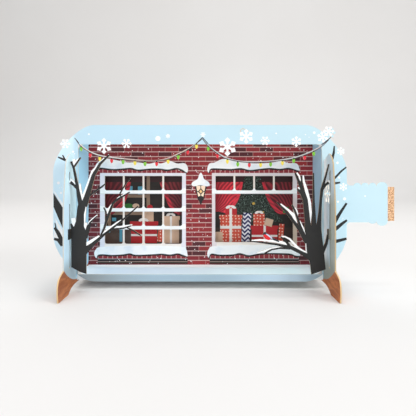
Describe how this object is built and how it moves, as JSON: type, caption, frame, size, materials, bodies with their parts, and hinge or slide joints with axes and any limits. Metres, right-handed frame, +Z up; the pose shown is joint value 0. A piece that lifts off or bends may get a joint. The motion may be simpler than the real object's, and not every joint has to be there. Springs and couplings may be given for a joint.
{
  "type": "pop-up greeting card",
  "caption": "Free-standing paper card cut as a bottle lying on cradle feet, with a brick front, bare trees and a string of lights inside.",
  "frame": {"origin": "on the ground, under the middle of the card's overall length and depth", "axes": "+X along the card towards the bottle's neck and cork, -Y towards the viewer, +Z up"},
  "size_m": [0.215, 0.08, 0.1028],
  "materials": {
    "panel_board": "printed board, satin",
    "wall_board": "printed board, satin",
    "tree_board": "printed board, matte",
    "brick_board": "printed board, matte",
    "room_board": "printed board, matte"
  },
  "bodies": {
    "root": {"bottle_panel": "panel_board", "left_end_wall": "wall_board", "right_end_wall": "wall_board", "left_tree": "tree_board", "right_tree": "tree_board", "brick_front": "brick_board", "room_sheet": "room_board"}
  },
  "joints": []
}
